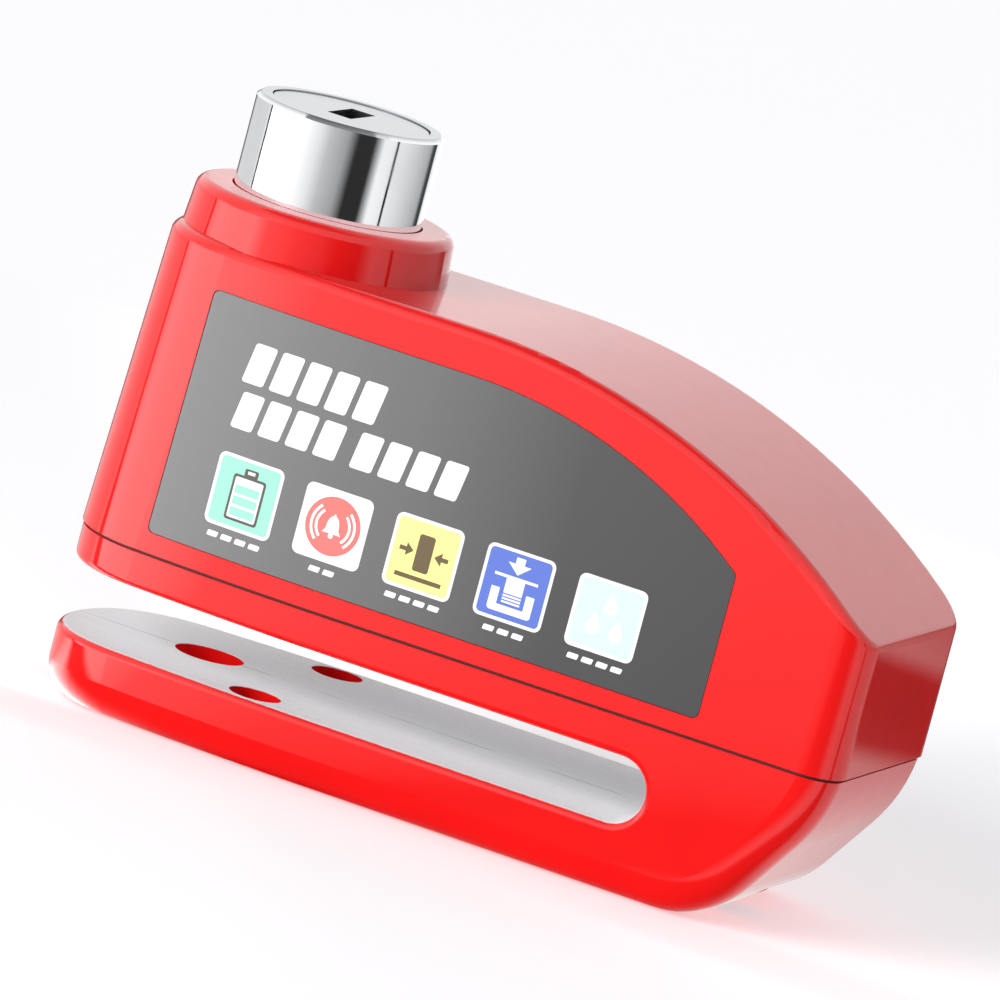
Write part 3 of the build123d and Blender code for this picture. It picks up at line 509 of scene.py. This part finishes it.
# Bell and sound rings on the white tile
bell = {
    "disc": 3.3,
    "half": [(-1.15, -0.75), (-0.8, -0.3), (-0.72, 0.45), (-0.5, 1.0), (-0.18, 1.25), (0, 1.55)],
    "drop": -0.1,
    "clapper": 0.3,
    "clapperDrop": -1.1,
    "rings": (2.75, 2.15),
    "ringWidth": 0.32,
    "ringTurns": (-48, 132),
    "ringSweep": 96,
}
bellX = tileX[1]
bellPoints = bell["half"] + [(-a, b) for a, b in reversed(bell["half"][:-1])]
sounds = []
for outer in bell["rings"]:
    for turn in bell["ringTurns"]:
        arc = disc(outer, outer - bell["ringWidth"], turn, bell["ringSweep"], 20)
        sounds.append(moveShape(arc, bellX, tileZ))
printPiece("bell_disc", "red", 2, [moveShape(disc(bell["disc"]), bellX, tileZ)])
printPiece("bell", "white", 3, [
    *sounds,
    moveShape(outline(bellPoints), bellX, tileZ + bell["drop"]),
    moveShape(disc(bell["clapper"]), bellX, tileZ + bell["clapperDrop"]),
])

# Pin between two arrows on the yellow tile
pin = {
    "body": (1.9, 4.2, 0.3),
    "height": 0.3,
    "ground": (5.6, 0.5),
    "groundHeight": -2.6,
    "gap": 1.25,
    "arrow": [(0, 0), (0.9, 0.75), (0.9, 0.25), (1.7, 0.25), (1.7, -0.25), (0.9, -0.25), (0.9, -0.75)],
}
pinX = tileX[2]
pinZ = tileZ + pin["height"]
rightArrow = [(a + pin["gap"], b) for a, b in pin["arrow"]]
leftArrow = [(-a, b) for a, b in reversed(rightArrow)]
printPiece("pin_width", "brown", 3, [
    moveShape(flat(*pin["body"]), pinX, pinZ),
    moveShape(flat(*pin["ground"]), pinX, tileZ + pin["groundHeight"]),
    moveShape(outline(rightArrow), pinX, pinZ),
    moveShape(outline(leftArrow), pinX, pinZ),
])

# Cylinder pushed into the jaw on the blue tile
push = {
    "arrow": [(0, 1.35), (1.4, 2.55), (0.55, 2.55), (0.55, 3.3), (-0.55, 3.3), (-0.55, 2.55), (-1.4, 2.55)],
    "line": (5.2, 0.32),
    "lineHeight": 0.95,
    "plug": (2.2, 1.7),
    "plugHeight": -0.05,
    "jaw": [
        (-2.6, -0.5), (-1.6, -0.5), (-1.6, -2.3), (1.6, -2.3), (1.6, -0.5),
        (2.6, -0.5), (2.6, -2.9), (2.3, -3.1), (-2.3, -3.1), (-2.6, -2.9),
    ],
    "thread": (2.2, 0.22),
    "firstThread": -1.15,
    "threadPitch": 0.36,
}
pushX = tileX[3]
threadHeights = [tileZ + push["firstThread"] - push["threadPitch"] * n for n in range(3)]
printPiece("push_lock", "white", 3, [
    moveShape(outline(push["arrow"]), pushX, tileZ),
    moveShape(flat(*push["line"]), pushX, tileZ + push["lineHeight"]),
    moveShape(flat(*push["plug"]), pushX, tileZ + push["plugHeight"]),
    moveShape(outline(push["jaw"]), pushX, tileZ),
    *[moveShape(flat(*push["thread"]), pushX, z) for z in threadHeights],
])

# Drops on the light blue tile
drops = {
    "radius": 0.78,
    "tip": 1.35,
    "middle": -0.4,
    "turns": range(115, -116, -23),
    "places": [(0.2, 1.55), (-1.3, -1.0), (1.5, -1.25)],
}
dropPoints = [(0, drops["tip"])]
for turn in drops["turns"]:
    across = drops["radius"] * math.sin(math.radians(turn))
    down = drops["radius"] * math.cos(math.radians(turn))
    dropPoints.append((across, drops["middle"] - down))
printPiece("drops", "white", 3, [
    moveShape(outline(dropPoints), tileX[4] + a, tileZ + b) for a, b in drops["places"]
])

# Plain slanted blocks for the headline, in rows of left end, middle, height and groups
headline = {
    "lean": 0.16,
    "width": 2.7,
    "gap": 0.75,
    "groupGap": 1.125,  # added between groups
    "corner": 0.3,
    "rows": [(3.0, 44.0, 4.6, [5]), (3.0, 38.6, 4.2, [4, 4])],
}
blocks = []
for x, z, height, groups in headline["rows"]:
    for count in groups:
        for number in range(count):
            block = flat(headline["width"], height, headline["corner"], 2)
            blocks.append(moveShape(block, x, z, headline["lean"]))
            x += headline["width"] + headline["gap"]
        x += headline["groupGap"]
printPiece("headline_bars", "white", 1, blocks)

# Short dashes under the tiles
captions = {
    "counts": [4, 2, 4, 3, 4],
    "dash": (1.3, 0.62, 0.12, 2),
    "pitch": 1.75,
    "drop": 5.15,
    "lean": 0.2,
}
dashes = []
for x, count in zip(tileX, captions["counts"]):
    for number in range(count):
        shift = (number - (count - 1) / 2) * captions["pitch"]
        dash = flat(*captions["dash"])
        dashes.append(moveShape(dash, x + shift, tileZ - captions["drop"], captions["lean"]))
printPiece("caption_dashes", "white", 1, dashes)
print("label printed")

# Return spring under the cylinder, its end turns drawn together
returnSpring = {
    "radius": 6.2,
    "wire": 1.1,
    "low": 22.92,
    "high": 38.82,
    "foot": 22.87,  # top of the pin bushing, where it stands
    "turns": 4.5,
    "gather": 0.11,  # how far the end turns are drawn together
    "stepsPerTurn": 36,
    "sides": 12,
    "shortest": 0.345,  # share of its length left when the cylinder is down
}


def springHeight(share):
    rise = returnSpring["high"] - returnSpring["low"] - returnSpring["wire"]
    return rise * (share - returnSpring["gather"] * math.sin(2 * math.pi * share))


springShape = bmesh.new()
wireRadius = returnSpring["wire"] / 2
bmesh.ops.create_circle(springShape, cap_ends=True, radius=wireRadius, segments=returnSpring["sides"])
bmesh.ops.rotate(springShape, verts=springShape.verts, matrix=Matrix.Rotation(math.radians(90), 3, "X"))
startPlace = (returnSpring["radius"], 0, returnSpring["low"] + wireRadius)
bmesh.ops.translate(springShape, verts=springShape.verts, vec=startPlace)
tip = springShape.faces[:]
springSteps = round(returnSpring["turns"] * returnSpring["stepsPerTurn"])
stepTurn = Matrix.Rotation(2 * math.pi / returnSpring["stepsPerTurn"], 3, "Z")
for step in range(springSteps):
    drawn = bmesh.ops.extrude_face_region(springShape, geom=tip, use_keep_orig=step == 0)
    newVerts = [v for v in drawn["geom"] if isinstance(v, bmesh.types.BMVert)]
    tip = [f for f in drawn["geom"] if isinstance(f, bmesh.types.BMFace)]
    climb = springHeight((step + 1) / springSteps) - springHeight(step / springSteps)
    bmesh.ops.rotate(springShape, verts=newVerts, cent=(0, 0, 0), matrix=stepTurn)
    bmesh.ops.translate(springShape, verts=newVerts, vec=(0, 0, climb))
bmesh.ops.recalc_face_normals(springShape, faces=springShape.faces)
for face in springShape.faces:
    face.smooth = len(face.verts) == 4  # all but the two cut ends
bmesh.ops.scale(springShape, vec=(mm, mm, mm), verts=springShape.verts)
coil = addMesh("return_coil", springShape)
coil.data.materials.append(finishes["spring_steel"])
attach(coil, "housing")
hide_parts("return_spring")
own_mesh(coil)
print("spring wound")

# Pale floor, which glows a little
ground = {
    "colour": (0.74, 0.74, 0.75),
    "cloud": (0.70, 0.70, 0.71),
    "cloudSize": 300,
    "glow": 0.46,
    "glowColour": (0.98, 0.98, 1.0),
    "half": 4.0,  # metres
}
floorShape = bmesh.new()
bmesh.ops.create_grid(floorShape, x_segments=8, y_segments=8, size=ground["half"])
floor = addMesh("floor", floorShape)
floorFinish = Finish("paleFloor", Roughness=0.8)
cloud = floorFinish.noise(ground["cloudSize"], 2) * 0.06
floorFinish.set(
    Base_Color=floorFinish.mix(cloud, ground["colour"], ground["cloud"]),
    Emission_Color=ground["glowColour"],
    Emission_Strength=ground["glow"],
)
floor.data.materials.append(floorFinish.material)

# A ring of light and dark cards, with a floor of its own, that only reflections see
cards = {
    "radius": 0.26,  # metres, as are the next two
    "height": 0.55,
    "lift": 0.0004,
    # bearing in degrees, 0 towards the front and 90 to the right, and brightness there
    "levels": [
        (-180, 1.20), (-158, 1.20), (-151, 0.10), (-143, 0.10), (-134, 0.75), (-90, 0.78),
        (-74, 3.2), (-36, 3.4), (-24, 1.15), (-8, 0.90), (4, 0.60), (24, 0.40), (36, 0.03),
        (56, 0.03), (62, 0.45), (68, 1.05), (100, 0.85), (143, 0.45), (150, 0.06), (157, 0.06),
        (164, 1.10), (180, 1.15),
    ],
    "tops": (70, 90),  # millimetres up, where the cards give way to an even light
    "even": 1.12,
    "darkStrip": (-20, 4, 10),  # in front: middle, and distances where it turns from dark to lit
    "darkPatch": (132, 133, 45, 36),  # behind: middle and reach
    "patchEdge": (0.7, 1.2),
}
ringShape = bmesh.new()
bmesh.ops.create_circle(ringShape, cap_ends=True, radius=cards["radius"], segments=96)
bmesh.ops.translate(ringShape, verts=ringShape.verts, vec=(0, 0, cards["lift"]))
upper = bmesh.ops.extrude_edge_only(ringShape, edges=ringShape.edges[:])
raised = [v for v in upper["geom"] if isinstance(v, bmesh.types.BMVert)]
bmesh.ops.translate(ringShape, verts=raised, vec=(0, 0, cards["height"]))
ring = addMesh("card_ring", ringShape)
ringFinish = Finish("cardRing", Base_Color=(0, 0, 0), Roughness=1.0, Specular_IOR_Level=0.0)
ringX, ringY, ringZ = ringFinish.axes()
bearing = ringX.maths("ARCTAN2", ringX, ringY * -1) * (0.5 / math.pi) + 0.5
stops = [(0.5 + turn / 360, (level, level, level)) for turn, level in cards["levels"]]
glow = ringFinish.node("ValToRGB", {"stops": stops}, {0: bearing})
stripMiddle, dark, clear = cards["darkStrip"]
fromStrip = ringY - stripMiddle
patchX, patchY, reachX, reachY = cards["darkPatch"]
acrossPatch = (ringX - patchX) * (1 / reachX)
alongPatch = (ringY - patchY) * (1 / reachY)
fromPatch = (acrossPatch * acrossPatch + alongPatch * alongPatch) ** 0.5
lit = ringFinish.step(fromStrip.maths("ABSOLUTE", fromStrip, 0), dark, clear)
lit = lit * ringFinish.step(fromPatch, *cards["patchEdge"])
glow = ringFinish.mix(lit, (0, 0, 0), glow)
aboveCards = ringFinish.step(ringZ, *cards["tops"])
glow = ringFinish.mix(aboveCards, glow, [cards["even"]] * 3)
ringFinish.set(Emission_Color=glow, Emission_Strength=1.0)
ring.data.materials.append(ringFinish.material)
ring.visible_camera = False
ring.visible_diffuse = False
ring.visible_shadow = False
print("floor and cards set")

# Soft lamps: strength, softness, bearing and height in degrees
lamps = {
    "keySun": (2.7, 34, -30, 21),
    "backSun": (0.5, 60, 150, 50),
}
for name, (strength, softness, turn, height) in lamps.items():
    lampData = bpy.data.lights.new(name, "SUN")
    lampData.energy = strength
    lampData.angle = math.radians(softness)
    lamp = bpy.data.objects.new(name, lampData)
    bpy.context.scene.collection.objects.link(lamp)
    turn, height = math.radians(turn), math.radians(height)
    across = math.cos(height)
    lamp.location = Vector((math.sin(turn) * across, -math.cos(turn) * across, math.sin(height)))
    lamp.rotation_mode = "QUATERNION"
    lamp.rotation_quaternion = lamp.location.to_track_quat("Z", "Y")

sky = {"colour": (0.98, 0.98, 1.0), "strength": 0.27}
world = bpy.data.worlds.new("studioWorld")
bpy.context.scene.world = world
world.use_nodes = True
background = world.node_tree.nodes["Background"]
background.inputs["Color"].default_value = (*sky["colour"], 1)
background.inputs["Strength"].default_value = sky["strength"]

# Camera, aimed at the middle of the lock and leaning to its left
view = {
    "azimuth": 18.85,
    "elevation": 10.1,
    "roll": 14.94,
    "away": 1.186,  # metres
    "target": (0.0285, 0, 0.03514),
    "lens": 385.6,
    "sensor": 36,
    "near": 0.05,
    "far": 20,
}
azimuth, elevation, roll = [math.radians(view[name]) for name in ("azimuth", "elevation", "roll")]
across = math.cos(elevation)
ahead = Vector((-math.sin(azimuth) * across, math.cos(azimuth) * across, -math.sin(elevation)))
right = Vector((math.cos(azimuth), math.sin(azimuth), 0))
above = right.cross(ahead)
rolledRight = right * math.cos(roll) + above * math.sin(roll)
rolledUp = above * math.cos(roll) - right * math.sin(roll)
cameraData = bpy.data.cameras.new("camera")
cameraData.lens = view["lens"]
cameraData.sensor_width = view["sensor"]
cameraData.clip_start = view["near"]
cameraData.clip_end = view["far"]
camera = bpy.data.objects.new("camera", cameraData)
bpy.context.scene.collection.objects.link(camera)
turnMatrix = Matrix((rolledRight, rolledUp, -ahead)).transposed().to_4x4()
camera.matrix_world = Matrix.Translation(Vector(view["target"]) - ahead * view["away"]) @ turnMatrix
bpy.context.scene.camera = camera
bpy.context.scene.view_settings.view_transform = "Standard"
print("camera set")
